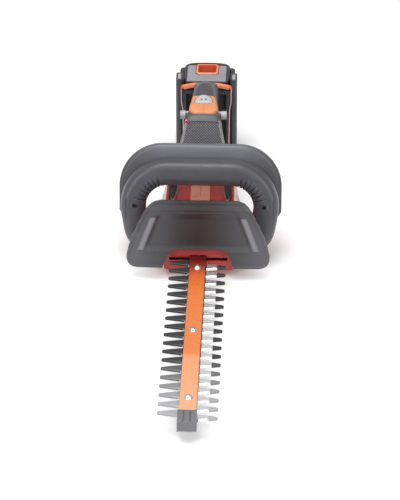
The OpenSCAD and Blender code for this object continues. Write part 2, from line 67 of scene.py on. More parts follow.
def add(nodes, kind, **values):
    node = nodes.new(kind)
    for key, value in values.items():
        setattr(node, key, value)
    return node


def math_node(nodes, links, operation, a, b=None):
    node = add(nodes, "ShaderNodeMath", operation=operation)
    for socket, value in zip(node.inputs, (a, b)):
        if value is None:
            continue
        if isinstance(value, (int, float)):
            socket.default_value = value
        else:
            links.new(value, socket)
    return node.outputs[0]


def calculator(nodes, links):
    """A short way to chain math nodes: calc("ADD", a, b)."""
    return lambda operation, a, b=None: math_node(nodes, links, operation, a, b)


def axes(nodes, links, coords):
    """The three coordinates as separate sockets."""
    split = add(nodes, "ShaderNodeSeparateXYZ")
    links.new(coords, split.inputs[0])
    return split.outputs


def noise(nodes, links, coords, scale, detail=3.0, roughness=0.5):
    node = add(nodes, "ShaderNodeTexNoise")
    node.inputs["Scale"].default_value = scale
    node.inputs["Detail"].default_value = detail
    node.inputs["Roughness"].default_value = roughness
    links.new(coords, node.inputs["Vector"])
    return node.outputs["Fac"]


def ramp(nodes, links, factor, stops):
    node = add(nodes, "ShaderNodeValToRGB")
    elements = node.color_ramp.elements
    while len(elements) < len(stops):
        elements.new(0.5)
    for element, (place, color) in zip(elements, stops):
        element.position = place
        element.color = (*color, 1.0)
    links.new(factor, node.inputs["Fac"])
    return node.outputs["Color"]


def bump(nodes, links, height, strength, distance, shader):
    node = add(nodes, "ShaderNodeBump")
    node.inputs["Strength"].default_value = strength
    node.inputs["Distance"].default_value = distance
    links.new(height, node.inputs["Height"])
    links.new(node.outputs["Normal"], shader.inputs["Normal"])


def grey(value):
    return (value, value, value)


def object_coords(nodes):
    return add(nodes, "ShaderNodeTexCoord").outputs["Object"]


def shade(color, factor):
    return tuple(min(1.0, channel * factor) for channel in color)


def moulded_plastic(name, color, rough=0.42, grain=0.25, coat=0.0, wear=True):
    """Moulded plastic: fine spark-eroded grain, faint colour drift, patchy roughness."""
    mat, nodes, links, shader = new_material(name, color, rough)
    coords = object_coords(nodes)
    drift = noise(nodes, links, coords, 22.0, 4.0)
    links.new(ramp(nodes, links, drift, [(0.3, shade(color, 0.90)), (0.7, shade(color, 1.10))]),
              shader.inputs["Base Color"])
    smear = noise(nodes, links, coords, 60.0, 5.0, 0.6)
    links.new(ramp(nodes, links, smear, [(0.3, grey(rough - 0.05)), (0.72, grey(rough + 0.07))]),
              shader.inputs["Roughness"])
    fine = noise(nodes, links, coords, 2600.0, 2.0)
    bump(nodes, links, fine, grain, 0.00012, shader)
    shader.inputs["Coat Weight"].default_value = coat
    shader.inputs["Coat Roughness"].default_value = 0.12
    return mat


# One over the switch bar's half width in metres, the reach of the painted side shade
SIDE_SHADE_SCALE = 7.6


def painted_side_shade_plastic(name, middle, shaded_ends):
    """Satin plastic with painted shade that darkens it from the tool's middle towards its two sides."""
    mat, nodes, links, shader = new_material(name, middle, 0.42)
    coords = object_coords(nodes)
    calc = calculator(nodes, links)
    reach = calc("MULTIPLY", calc("ABSOLUTE", axes(nodes, links, coords)[0]), SIDE_SHADE_SCALE)
    wash = calc("MULTIPLY", noise(nodes, links, coords, 30.0, 3.0), 0.08)
    # Painted shade: the colour darkens with distance from the middle
    links.new(ramp(nodes, links, calc("ADD", reach, wash), [(0.5, middle), (1.0, shaded_ends)]),
              shader.inputs["Base Color"])
    bump(nodes, links, noise(nodes, links, coords, 2600.0, 2.0), 0.35, 0.00012, shader)
    return mat


def gloss_plastic(name, color, rough=0.22):
    """Glossy painted or moulded shell with orange peel and faint dust in the roughness."""
    mat, nodes, links, shader = new_material(name, color, rough)
    coords = object_coords(nodes)
    drift = noise(nodes, links, coords, 14.0, 3.0)
    links.new(ramp(nodes, links, drift, [(0.3, shade(color, 0.93)), (0.7, shade(color, 1.06))]),
              shader.inputs["Base Color"])
    dust = noise(nodes, links, coords, 90.0, 6.0, 0.65)
    links.new(ramp(nodes, links, dust, [(0.35, grey(rough - 0.04)), (0.75, grey(rough + 0.08))]),
              shader.inputs["Roughness"])
    peel = noise(nodes, links, coords, 420.0, 2.0)
    bump(nodes, links, peel, 0.12, 0.0001, shader)
    shader.inputs["Coat Weight"].default_value = 0.35
    shader.inputs["Coat Roughness"].default_value = 0.08
    return mat


def brushed_metal(name, color, rough=0.3, stretch=(60.0, 900.0, 900.0), grain=0.2):
    """Metal with fine grinding marks drawn along one axis."""
    mat, nodes, links, shader = new_material(name, color, rough, 1.0)
    coords = object_coords(nodes)
    mapping = add(nodes, "ShaderNodeMapping")
    mapping.inputs["Scale"].default_value = stretch
    links.new(coords, mapping.inputs["Vector"])
    lines = noise(nodes, links, mapping.outputs["Vector"], 3.0, 4.0, 0.6)
    links.new(ramp(nodes, links, lines, [(0.25, grey(rough - 0.08)), (0.75, grey(rough + 0.12))]),
              shader.inputs["Roughness"])
    stain = noise(nodes, links, coords, 35.0, 4.0)
    links.new(ramp(nodes, links, stain, [(0.3, shade(color, 0.86)), (0.7, shade(color, 1.08))]),
              shader.inputs["Base Color"])
    bump(nodes, links, lines, grain, 0.0001, shader)
    return mat


def rubber(name, color):
    """Matt rubber with a coarse grain."""
    mat, nodes, links, shader = new_material(name, color, 0.8)
    coords = object_coords(nodes)
    fine = noise(nodes, links, coords, 1500.0, 3.0)
    links.new(ramp(nodes, links, fine, [(0.3, shade(color, 0.8)), (0.7, shade(color, 1.25))]),
              shader.inputs["Base Color"])
    bump(nodes, links, fine, 0.4, 0.0002, shader)
    return mat


def knurled_plastic(name, color, pitch=4.4, rough=0.5):
    """Dark grip plastic with a moulded diamond pattern of small pads, the pads painted lighter as painted
    highlight and the grooves between them darker as painted shade.
    """
    mat, nodes, links, shader = new_material(name, color, rough)
    coords = object_coords(nodes)
    calc = calculator(nodes, links)
    across, depth, height = axes(nodes, links, coords)
    wave = math.pi / (pitch * MM)
    along = calc("ADD", calc("MULTIPLY", depth, 0.64), calc("MULTIPLY", height, 0.77))
    plus = calc("MULTIPLY", calc("ADD", across, along), wave)
    minus = calc("MULTIPLY", calc("SUBTRACT", across, along), wave)
    pads = calc("ABSOLUTE", calc("MULTIPLY", calc("SINE", plus), calc("SINE", minus)))
    # Painted highlight on the pad tops and painted shade in the grooves between them
    pad_highlight_and_groove_shade = [(0.0, shade(color, 0.30)), (0.35, color), (1.0, shade(color, 2.8))]
    links.new(ramp(nodes, links, pads, pad_highlight_and_groove_shade), shader.inputs["Base Color"])
    links.new(ramp(nodes, links, pads, [(0.0, grey(rough + 0.2)), (0.6, grey(rough - 0.08))]),
              shader.inputs["Roughness"])
    bump(nodes, links, pads, 0.9, 0.0006, shader)
    return mat


def banded_steel(name):
    """Bright blade steel with painted dark reflection and shade down the middle, on the left teeth and on
    the right tips, painted darker still towards the root by the guard.
    """
    mat, nodes, links, shader = new_material(name, (0.9, 0.9, 0.92), 0.3, 1.0)
    coords = object_coords(nodes)
    calc = calculator(nodes, links)
    across, along, _ = axes(nodes, links, coords)
    right = calc("GREATER_THAN", across, 0.0)
    turns = calc("ADD", calc("MULTIPLY", calc("ADD", along, ORIGIN_Y * MM), 1 / (TOOTH_PITCH * MM)),
                 calc("MULTIPLY", right, 0.5))
    nearest = calc("SUBTRACT", calc("FRACT", calc("ADD", turns, 100.5)), 0.5)
    reach = calc("ABSOLUTE", across)
    band = calc("SUBTRACT", 0.40, calc("MULTIPLY", calc("SUBTRACT", reach, 14 * MM), 7.5))
    stripe = calc("LESS_THAN", calc("ABSOLUTE", calc("SUBTRACT", nearest, 0.03)), band)
    tip = calc("MULTIPLY", calc("GREATER_THAN", reach, 31 * MM), calc("LESS_THAN", reach, 46 * MM))
    dark_right = calc("MULTIPLY", calc("MULTIPLY", right, tip), calc("GREATER_THAN", 0.26, calc(
        "ABSOLUTE", nearest)))
    dark_left = calc("MULTIPLY", calc("SUBTRACT", 1.0, right), stripe)
    strip = calc("LESS_THAN", reach, 14.2 * MM)
    # Painted dark reflection and shade: the middle strip under the bar, the left teeth and the right tips
    painted_dark_mask = calc("MINIMUM", calc("ADD", calc("ADD", dark_right, dark_left), strip), 1.0)
    marks = noise(nodes, links, coords, 180.0, 4.0, 0.6)
    # Painted shade: the dark tone is darkest at the root by the guard and lighter towards the tip
    guard_shade_fade = calc("MULTIPLY", calc("SUBTRACT", -0.30, along), 5.0)
    deep = ramp(nodes, links, guard_shade_fade, [(0.0, (0.030, 0.030, 0.034)), (0.6, (0.34, 0.34, 0.35))])
    mix = add(nodes, "ShaderNodeMix", data_type="RGBA")
    links.new(painted_dark_mask, mix.inputs[0])
    links.new(ramp(nodes, links, marks, [(0.3, grey(0.86)), (0.7, grey(0.97))]), mix.inputs[6])
    links.new(deep, mix.inputs[7])
    links.new(mix.outputs[2], shader.inputs["Base Color"])
    for socket, bright, dull in (("Roughness", 0.26, 0.48), ("Metallic", 0.85, 0.25)):
        links.new(ramp(nodes, links, painted_dark_mask, [(0.0, grey(bright)), (1.0, grey(dull))]),
                  shader.inputs[socket])
    bump(nodes, links, marks, 0.15, 0.0001, shader)
    return mat


def bar_paint(name):
    """Gloss orange paint, with painted shade making it deep red by the guard and a painted highlight
    making it paler on the front third.
    """
    mat, nodes, links, shader = new_material(name, (0.78, 0.23, 0.06), 0.3)
    coords = object_coords(nodes)
    calc = calculator(nodes, links)
    along = calc("MULTIPLY", axes(nodes, links, coords)[1], -2.0)
    wash = noise(nodes, links, coords, 30.0, 3.0)
    # Painted shade by the guard fading into a painted highlight towards the tip
    soft = calc("ADD", along, calc("MULTIPLY", wash, 0.02))
    links.new(ramp(nodes, links, soft, [
        (0.03, (0.09, 0.006, 0.006)), (0.08, (0.26, 0.028, 0.012)), (0.13, (0.52, 0.10, 0.022)),
        (0.22, (0.60, 0.155, 0.034)), (0.585, (0.62, 0.17, 0.042)), (0.61, (0.72, 0.26, 0.115)),
        (1.0, (0.76, 0.34, 0.19))]), shader.inputs["Base Color"])
    dust = noise(nodes, links, coords, 120.0, 6.0, 0.65)
    links.new(ramp(nodes, links, dust, [(0.35, grey(0.24)), (0.75, grey(0.36))]),
              shader.inputs["Roughness"])
    peel = noise(nodes, links, coords, 420.0, 2.0)
    bump(nodes, links, peel, 0.12, 0.0001, shader)
    return mat


def guard_with_painted_light(name):
    """Satin grey guard plastic with painted shading: painted shade with a faint painted red reflection in
    the dished middle, and painted highlights along its two slanted folds.
    """
    mat, nodes, links, shader = new_material(name, (0.05, 0.05, 0.056), 0.36)
    coords = object_coords(nodes)
    calc = calculator(nodes, links)
    across, _, height = axes(nodes, links, coords)
    reach = calc("ABSOLUTE", across)
    fold_at = calc("SUBTRACT", 110.5 * MM, calc("MULTIPLY", height, 0.375))
    off_fold = calc("ABSOLUTE", calc("SUBTRACT", reach, fold_at))
    span = calc("MULTIPLY", calc("GREATER_THAN", height, 50 * MM), calc("LESS_THAN", height, 104 * MM))
    # Painted highlight along the two slanted folds, mixed in as a pale grey
    fold = calc("MULTIPLY", ramp(nodes, links, calc("MULTIPLY", off_fold, 100.0), [
        (0.0, grey(1.0)), (0.30, grey(0.85)), (0.62, grey(0.0))]), span)
    # Painted shade, darkest and reddish in the middle as a painted reflection, lighter towards the sides
    painted_middle_shade = ramp(nodes, links, calc("MULTIPLY", reach, 9.0), [
        (0.0, (0.015, 0.008, 0.008)), (0.28, (0.023, 0.018, 0.019)), (0.62, (0.044, 0.043, 0.048)),
        (0.95, (0.078, 0.076, 0.088))])
    mix = add(nodes, "ShaderNodeMix", data_type="RGBA")
    links.new(fold, mix.inputs[0])
    links.new(painted_middle_shade, mix.inputs[6])
    mix.inputs[7].default_value = (0.17, 0.17, 0.185, 1.0)
    links.new(mix.outputs[2], shader.inputs["Base Color"])
    smear = noise(nodes, links, coords, 60.0, 5.0, 0.6)
    links.new(ramp(nodes, links, smear, [(0.3, grey(0.30)), (0.72, grey(0.42))]),
              shader.inputs["Roughness"])
    fine = noise(nodes, links, coords, 2600.0, 2.0)
    bump(nodes, links, fine, 0.15, 0.0001, shader)
    return mat


ORANGE = (0.70, 0.085, 0.022)
DARK = (0.052, 0.052, 0.060)
BLACK = (0.036, 0.035, 0.038)

mat_dark = moulded_plastic("dark_shell_plastic", DARK, 0.38, 0.3)
mat_guard = guard_with_painted_light("guard_plastic")
# The switch bar's sides are painted darker as painted shade
mat_bar_dark = painted_side_shade_plastic("switch_bar_plastic", (0.115, 0.115, 0.135), (0.034, 0.034, 0.036))
mat_tip = moulded_plastic("tip_guard_plastic", (0.13, 0.13, 0.14), 0.4, 0.3)
mat_black = moulded_plastic("black_plastic", BLACK, 0.5, 0.3)
mat_grip = knurled_plastic("grip_plastic", (0.050, 0.050, 0.058))
# A paler copy of the grip plastic: painted highlight for the grip's lit edges
mat_grip_edge_highlight = knurled_plastic("grip_edge_highlight_plastic", (0.17, 0.16, 0.17), 3.0)
mat_orange = gloss_plastic("orange_shell_plastic", ORANGE)
mat_orange_pale = gloss_plastic("pale_orange_plastic", (0.74, 0.21, 0.10), 0.3)
mat_pad = moulded_plastic("pad_plastic", (0.56, 0.20, 0.075), 0.45, 0.2)
# The spine's orange is painted paler as a painted highlight
mat_spine_highlight = gloss_plastic("spine_highlight_plastic", (0.92, 0.36, 0.24), 0.3)
# Dark red for the guard's painted shadow on the nose
mat_nose_shadow = gloss_plastic("nose_shadow_plastic", (0.36, 0.022, 0.020), 0.4)
# Darker red for painted shade inside the latch's finger well
mat_well_shade = gloss_plastic("latch_well_shade_plastic", (0.55, 0.10, 0.045), 0.4)
# Darker red for painted shade in the top channel
mat_channel_shade = gloss_plastic("orange_channel_shade_plastic", (0.60, 0.035, 0.024), 0.35)
mat_bar = bar_paint("bar_paint")
mat_blade = banded_steel("blade_steel")
mat_guide = brushed_metal("guide_steel", (0.60, 0.60, 0.62), 0.28)
mat_bright = brushed_metal("bright_steel", (0.80, 0.80, 0.82), 0.2, (400.0, 400.0, 400.0), 0.1)
mat_alloy = brushed_metal("cast_alloy", (0.62, 0.63, 0.65), 0.45, (300.0, 300.0, 300.0), 0.4)
mat_motor = brushed_metal("motor_steel", (0.45, 0.46, 0.48), 0.35)
mat_copper = brushed_metal("winding_copper", (0.72, 0.38, 0.18), 0.35, (200.0, 200.0, 1400.0))
mat_light = moulded_plastic("light_plastic", (0.34, 0.33, 0.35), 0.35, 0.2)
mat_white = moulded_plastic("button_plastic", (0.38, 0.38, 0.40), 0.3, 0.1)
mat_lens = gloss_plastic("lens_plastic", (0.62, 0.012, 0.03), 0.1)
mat_lid = moulded_plastic("lid_plastic", (0.26, 0.25, 0.27), 0.34, 0.3)
mat_line = moulded_plastic("dock_line_plastic", (0.46, 0.34, 0.33), 0.35, 0.15)
mat_foot = rubber("foot_rubber", (0.03, 0.03, 0.03))
mat_board = moulded_plastic("board_laminate", (0.02, 0.12, 0.05), 0.35, 0.1)
mat_brass = brushed_metal("terminal_brass", (0.78, 0.55, 0.22), 0.25)
mat_cell = brushed_metal("cell_wrap", (0.10, 0.22, 0.42), 0.35)

SLOT_MATERIAL = {
    "painted_bar": mat_bar, "blade_steel": mat_guide, "bright_steel": mat_bright,
    "case_alloy": mat_alloy, "motor_steel": mat_motor, "winding_copper": mat_copper,
    "orange_shell": mat_orange, "dark_shell": mat_dark, "black_plastic": mat_black,
    "rubber_foot": mat_foot, "light_plastic": mat_light, "white_button": mat_white,
    "red_lens": mat_lens, "lid_grey": mat_lid, "board_green": mat_board,
    "terminal_brass": mat_brass, "cell_metal": mat_cell,
}


# ---------- mesh helpers ----------

def arc_corner(before, corner, after, radius, steps):
    """Points that round one corner of an outline with a circular arc."""
    a = (Vector(before) - Vector(corner)).normalized()
    b = (Vector(after) - Vector(corner)).normalized()
    angle = a.angle(b)
    if radius <= 0 or angle > math.pi - 0.02:
        return [tuple(corner)]
    reach = radius / math.tan(angle / 2)
    centre = Vector(corner) + (a + b).normalized() * (radius / math.sin(angle / 2))
    start = Vector(corner) + a * reach - centre
    end = Vector(corner) + b * reach - centre
    sweep = start.angle_signed(end)
    points = []
    for i in range(steps + 1):
        turn = -sweep * i / steps
        points.append((centre.x + start.x * math.cos(turn) - start.y * math.sin(turn),
                       centre.y + start.x * math.sin(turn) + start.y * math.cos(turn)))
    return points


def rounded_outline(corners, steps=6, closed=True):
    """An outline of (x, y, corner radius) turned into points with rounded corners."""
    points = []
    count = len(corners)
    for i, (x, y, radius) in enumerate(corners):
        if not closed and i in (0, count - 1):
            points.append((x, y))
            continue
        before = corners[(i - 1) % count][:2]
        after = corners[(i + 1) % count][:2]
        points += arc_corner(before, (x, y), after, radius, steps)
    return points


def resample(points, spacing):
    """The same closed outline with points at even steps of about the given spacing."""
    ring = list(points) + [points[0]]
    lengths = [0.0]
    for a, b in zip(ring, ring[1:]):
        lengths.append(lengths[-1] + math.dist(a, b))
    count = max(4, round(lengths[-1] / spacing))
    result = []
    index = 0
    for k in range(count):
        target = lengths[-1] * k / count
        while index < len(ring) - 2 and lengths[index + 1] < target:
            index += 1
        span = lengths[index + 1] - lengths[index]
        part = 0 if span == 0 else (target - lengths[index]) / span
        result.append(tuple(p + (q - p) * part for p, q in zip(ring[index], ring[index + 1])))
    return result


def table_value(table, x):
    """Smooth interpolation through a short list of (x, value) pairs."""
    if x <= table[0][0]:
        return table[0][1]
    for (x0, v0), (x1, v1) in zip(table, table[1:]):
        if x <= x1:
            part = (x - x0) / (x1 - x0)
            part = part * part * (3 - 2 * part) * 0.5 + part * 0.5
            return v0 + (v1 - v0) * part
    return table[-1][1]


def smooth_step(low, high, x):
    part = min(1.0, max(0.0, (x - low) / (high - low)))
    return part * part * (3 - 2 * part)


def superellipse(count, power):
    """Unit section: (a, b) pairs round a rounded rectangle."""
    points = []
    for i in range(count):
        angle = 2 * math.pi * i / count
        c, s = math.cos(angle), math.sin(angle)
        points.append((math.copysign(abs(c) ** (2 / power), c), math.copysign(abs(s) ** (2 / power), s)))
    return points


def skin(loops, close_path=False, close_loop=True, caps=False):
    """Vertices and faces of a surface through rings that all have the same point count."""
    n = len(loops[0])
    verts = [v for loop in loops for v in loop]
    faces = []
    rows = len(loops) if close_path else len(loops) - 1
    for r in range(rows):
        a, b = r * n, ((r + 1) % len(loops)) * n
        for i in range(n if close_loop else n - 1):
            j = (i + 1) % n
            faces.append((a + i, a + j, b + j, b + i))
    if caps:
        faces.append(tuple(reversed(range(n))))
        faces.append(tuple(range(len(verts) - n, len(verts))))
    return verts, faces


def new_piece(name, verts, faces, body, slot, mat, replaces=(), smooth=True):
    mesh = bpy.data.meshes.new(name)
    mesh.from_pydata([tuple(v) for v in verts], [], faces)
    bm = bmesh.new()
    bm.from_mesh(mesh)
    bmesh.ops.remove_doubles(bm, verts=bm.verts, dist=1e-6)
    bmesh.ops.dissolve_degenerate(bm, edges=bm.edges, dist=1e-6)
    bmesh.ops.recalc_face_normals(bm, faces=bm.faces)
    bm.to_mesh(mesh)
    bm.free()
    for polygon in mesh.polygons:
        polygon.use_smooth = smooth
    piece = bpy.data.objects.new(name, mesh)
    bpy.context.scene.collection.objects.link(piece)
    mesh.materials.append(mat)
    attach(piece, body)
    if replaces:
        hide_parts(*replaces)
    return piece


def modifier(piece, kind, **values):
    mod = piece.modifiers.new(kind.title(), kind)
    for key, value in values.items():
        setattr(mod, key, value)


def bevel(piece, width, segments=3, angle=35):
    modifier(piece, "BEVEL", width=width * MM, segments=segments, limit_method="ANGLE",
             angle_limit=math.radians(angle), harden_normals=False, use_clamp_overlap=True)
    modifier(piece, "WEIGHTED_NORMAL", keep_sharp=True)


def smooth_faces(piece):
    for polygon in piece.data.polygons:
        polygon.use_smooth = True


def split_edges(piece, angle):
    """Keep edges sharper than the angle crisp under smooth shading."""
    modifier(piece, "EDGE_SPLIT", split_angle=math.radians(angle))


def apply_all(piece):
    """Replace a piece's mesh by what its modifiers make of it."""
    graph = bpy.context.evaluated_depsgraph_get()
    graph.update()
    mesh = bpy.data.meshes.new_from_object(piece.evaluated_get(graph))
    piece.modifiers.clear()
    piece.data = mesh


def cut(piece, verts, faces):
    """Remove a closed volume from a piece."""
    mesh = bpy.data.meshes.new("cutter")
    mesh.from_pydata([tuple(v) for v in verts], [], faces)
    bm = bmesh.new()
    bm.from_mesh(mesh)
    bmesh.ops.recalc_face_normals(bm, faces=bm.faces)
    bm.to_mesh(mesh)
    bm.free()
    cutter = bpy.data.objects.new("cutter", mesh)
    bpy.context.scene.collection.objects.link(cutter)
    modifier(piece, "BOOLEAN", object=cutter, operation="DIFFERENCE", solver="EXACT")
    apply_all(piece)
    bpy.data.objects.remove(cutter)


def box_mesh(x0, x1, y0, y1, z0, z1):
    return prism([(x0, y0), (x1, y0), (x1, y1), (x0, y1)], z0, z1)


def stack(levels, place=at):
    """A closed solid through (outline, depth) pairs, put in place by a function of (u, v, depth)."""
    return skin([[place(u, v, depth) for u, v in outline] for outline, depth in levels], caps=True)


def prism(outline, low, high, place=at):
    """A closed slab of one outline between two depths."""
    return stack(((outline, low), (outline, high)), place)


def circle(cx, cy, radius, count=32):
    turns = [2 * math.pi * i / count for i in range(count)]
    return [(cx + radius * math.cos(turn), cy + radius * math.sin(turn)) for turn in turns]


def side_name(side):
    return "right" if side > 0 else "left"


def dress(node, mat):
    """Give a CAD node its material, with merged flat faces and softened edges."""
    cad = frame["nodes"][node]
    cad.data.materials.clear()
    cad.data.materials.append(mat)
    modifier(cad, "WELD", merge_threshold=1e-6)
    modifier(cad, "DECIMATE", decimate_type="DISSOLVE", angle_limit=math.radians(1.0))
    bevel(cad, 0.35, 2, 30)


# ---------- camera, light and floor ----------

AZIMUTH = math.radians(1.981)
ELEVATION = math.radians(30.0)
CAMERA_AT = at(132.8, -3744.0, 2217.7)
LENS = 196.73


def make_camera():
    data = bpy.data.cameras.new("camera")
    data.lens = LENS
    data.sensor_width = 36.0
    data.clip_end = 50.0
    camera = bpy.data.objects.new("camera", data)
    bpy.context.scene.collection.objects.link(camera)
    right = Vector((math.cos(AZIMUTH), math.sin(AZIMUTH), 0.0))
    back = Vector((math.sin(AZIMUTH) * math.cos(ELEVATION), -math.cos(AZIMUTH) * math.cos(ELEVATION),
                   math.sin(ELEVATION)))
    up = back.cross(right)
    turn = Matrix((right, up, back)).transposed().to_4x4()
    camera.matrix_world = Matrix.Translation(CAMERA_AT) @ turn
    bpy.context.scene.camera = camera


def make_light(name, size, place, target, power):
    data = bpy.data.lights.new(name, "AREA")
    data.shape = "RECTANGLE"
    data.size, data.size_y = size
    data.energy = power
    light = bpy.data.objects.new(name, data)
    light.location = place
    light.rotation_euler = (Vector(target) - Vector(place)).to_track_quat("-Z", "Y").to_euler()
    bpy.context.scene.collection.objects.link(light)


def make_stage():
    mat, nodes, links, shader = new_material("pale_floor", (0.93, 0.93, 0.93), 0.6)
    coords = object_coords(nodes)
    tone = noise(nodes, links, coords, 3.0, 2.0)
    links.new(ramp(nodes, links, tone, [(0.3, grey(0.925)), (0.7, grey(0.935))]),
              shader.inputs["Base Color"])
    half = 4.0
    verts = [(-half, -half, 0), (half, -half, 0), (half, half, 0), (-half, half, 0)]
    mesh = bpy.data.meshes.new("floor")
    mesh.from_pydata(verts, [], [(0, 1, 2, 3)])
    mesh.materials.append(mat)
    floor = bpy.data.objects.new("floor", mesh)
    bpy.context.scene.collection.objects.link(floor)
    world = bpy.data.worlds.new("studio")
    bpy.context.scene.world = world
    world.use_nodes = True
    background = world.node_tree.nodes["Background"]
    background.inputs["Color"].default_value = (1.0, 1.0, 1.0, 1.0)
    background.inputs["Strength"].default_value = 0.5
    make_light("key_softbox", (2.2, 1.8), (-0.25, -0.1, 2.6), (0, 0, 0.05), 58.0)
    make_light("left_strip", (0.5, 2.0), (-1.5, -1.3, 1.0), (0, 0, 0.1), 18.0)
    make_light("right_strip", (0.5, 2.0), (1.5, -1.3, 1.0), (0, 0, 0.1), 16.0)
    make_light("front_fill", (1.6, 0.8), (0.3, -2.6, 1.7), (0, 0, 0.1), 8.0)


make_camera()
make_stage()
bpy.context.scene.view_settings.view_transform = "Standard"

# ---------- shared shapes ----------

def leaning_plane(y0, z0, lean):
    """Places (across, up, towards the blade) of a plane that leans back from the blade."""
    c, s = math.cos(math.radians(lean)), math.sin(math.radians(lean))
    return lambda u, w, d: at(u, y0 - d * c + w * s, z0 + d * s + w * c)


def shrink_ring(points, amount):
    """Move each point of a closed outline inwards by amount(x, y)."""
    count = len(points)
    area = sum(points[i - 1][0] * p[1] - p[0] * points[i - 1][1] for i, p in enumerate(points))
    turn = 1 if area > 0 else -1
    result = []
    for i, point in enumerate(points):
        a, b = Vector(points[i - 1]), Vector(points[(i + 1) % count])
        before, after = Vector(point) - a, b - Vector(point)
        before.normalize()
        after.normalize()
        n1, n2 = Vector((-before.y, before.x)) * turn, Vector((-after.y, after.x)) * turn
        mitre = (n1 + n2).normalized()
        stretch = min(2.0, 1 / max(0.3, mitre.dot(n1)))
        result.append(tuple(Vector(point) + mitre * amount(*point) * stretch))
    return result


def inset(outline, amount):
    """A closed outline moved inwards by one amount all round."""
    return shrink_ring(outline, lambda x, y: amount)


def paint_faces(piece, mat, wanted):
    """Give a second material to the faces whose centre (x, y, z in design mm) is wanted."""
    piece.data.materials.append(mat)
    index = len(piece.data.materials) - 1
    for polygon in piece.data.polygons:
        x, y, z = polygon.center
        if wanted(x / MM, y / MM + ORIGIN_Y, z / MM, polygon.normal):
            polygon.material_index = index


# ---------- blade ----------

TOOTH_COUNT = 19
BLADE_FRONT = -448.0
YOKE_FRONT, YOKE_REAR, YOKE_HALF = 64.0, 100.0, 26.0
BLADE_THICK, GRIND_DEPTH = 2.2, 1.1
UPPER_Z, LOWER_Z = 30.0, 27.6
BOLT_PLACES, BOLT_HOLE_R = (-24.5, -212.1, -399.7), 2.6


def tooth_side(side):
    """Cutting edge of one side, from the tip of the blade back to the yoke."""
    points = [(12.0, BLADE_FRONT)]
    start = -12.0 if side > 0 else 0.0
    for i in reversed(range(TOOTH_COUNT)):
        y = start - i * TOOTH_PITCH
        points += [(16.2, y - 8.4), (30.0, y - 5.4), (43.4, y - 2.6), (44.6, y - 1.8), (44.6, y + 1.8),
                   (43.4, y + 2.6), (30.0, y + 5.4), (16.2, y + 8.4)]
        if i:
            for step in range(1, 8):
                turn = math.pi * step / 8
                points.append((16.2 - 3.6 * math.sin(turn), y + 12 - 3.6 * math.cos(turn)))
    points += [(12.0, start + 10.5), (12.0, YOKE_FRONT), (YOKE_HALF, YOKE_FRONT), (YOKE_HALF, YOKE_REAR)]
    return [(side * x, y) for x, y in points]


def grind_width(x, y):
    """Width of the ground bevel: widest along the teeth, a touch elsewhere."""
    if abs(x) <= 12.5 or y >= 20:
        return 0.25
    return 1.9 if abs(x) < 30 else 1.1


def blade(name, node, z0, ground_up):
    """One reciprocating blade with its bolt slots and the yoke window for its eccentric."""
    outline = tooth_side(1) + list(reversed(tooth_side(-1)))
    ground = shrink_ring(outline, grind_width)
    top, middle, bottom = z0 + BLADE_THICK, z0 + BLADE_THICK - GRIND_DEPTH, z0
    if not ground_up:
        top, middle, bottom = bottom, z0 + GRIND_DEPTH, top
    levels = ((outline, bottom), (outline, middle), (ground, top))
    piece = new_piece(name, *stack(levels), node, "blade_steel", mat_blade, (node,), smooth=False)
    slot = rounded_outline([(-4.3, -12.3, 4.2), (4.3, -12.3, 4.2), (4.3, 12.3, 4.2), (-4.3, 12.3, 4.2)])
    for y in BOLT_PLACES:
        cut(piece, *prism([(u, v + y) for u, v in slot], z0 - 2, z0 + 5))
    window = rounded_outline([(-17.8, 71, 3), (17.8, 71, 3), (17.8, 93, 3), (-17.8, 93, 3)])
    cut(piece, *prism(window, z0 - 2, z0 + 5))


BAR_Z, BAR_THICK, BAR_HALF = 32.4, 4.0, 12.7
BAR_FRONT, BAR_REAR = -454.0, 50.0


def painted_bar():
    """The orange bar over the blades, bevelled along its top edges."""
    edge = 1.2
    section = [(-BAR_HALF, 0), (BAR_HALF, 0), (BAR_HALF, BAR_THICK - edge), (BAR_HALF - edge, BAR_THICK),
               (edge - BAR_HALF, BAR_THICK), (-BAR_HALF, BAR_THICK - edge)]
    stops = [BAR_FRONT + i * (BAR_REAR - BAR_FRONT) / 24 for i in range(25)]
    loops = [[at(x, y, BAR_Z + z) for x, z in section] for y in stops]
    piece = new_piece("blade_bar_painted", *skin(loops, caps=True), "body", "painted_bar", mat_bar,
                      ("blade_bar",), smooth=False)
    for y in BOLT_PLACES:
        cut(piece, *prism(circle(0, y, BOLT_HOLE_R, 24), BAR_Z - 2, BAR_Z + 6))
    bevel(piece, 0.25, 2, 20)


# ---------- hand guard ----------

guard_place = leaning_plane(3.5, 10.0, 9.0)
GUARD_TOP, GUARD_LOW, GUARD_THICK = 122.0, 11.0, 3.6
GUARD_SIDE = ((11.0, 97.0), (12.2, 103.5), (15.0, 108.3), (19.0, 111.6), (25.0, 113.4), (32.0, 113.6),
              (46.0, 110.6), (60.0, 106.0), (78.0, 98.2), (95.0, 90.4), (105.0, 85.4), (112.5, 80.0),
              (118.0, 73.5), (121.0, 66.0), (122.0, 58.0))


def guard_front(u, w, half):
    """Height of the guard's front face: raised lip, swept-back top flange and dished panel."""
    side = half - abs(u)
    lip = 1 - smooth_step(2.5, 7.5, min(side, GUARD_TOP - w, w - GUARD_LOW + 1.5))
    flange = 0.55 * max(0.0, w - 107.0)
    fold = 1.3 * (1 - smooth_step(0.6, 3.0, abs(w - 105.5))) * smooth_step(0.0, 9.0, 62.0 - abs(u))
    panel_half = 67.0 + (101.0 - w) * 0.37
    inside = (smooth_step(0.0, 9.0, panel_half - abs(u)) * smooth_step(0.0, 14.0, 104.0 - w)
              * smooth_step(0.0, 16.0, w - 34.0))
    sag = 2.6 * (1 - (u / 115.0) ** 2)
    return 3.2 + 1.9 * lip - flange - fold - 5.2 * inside + sag


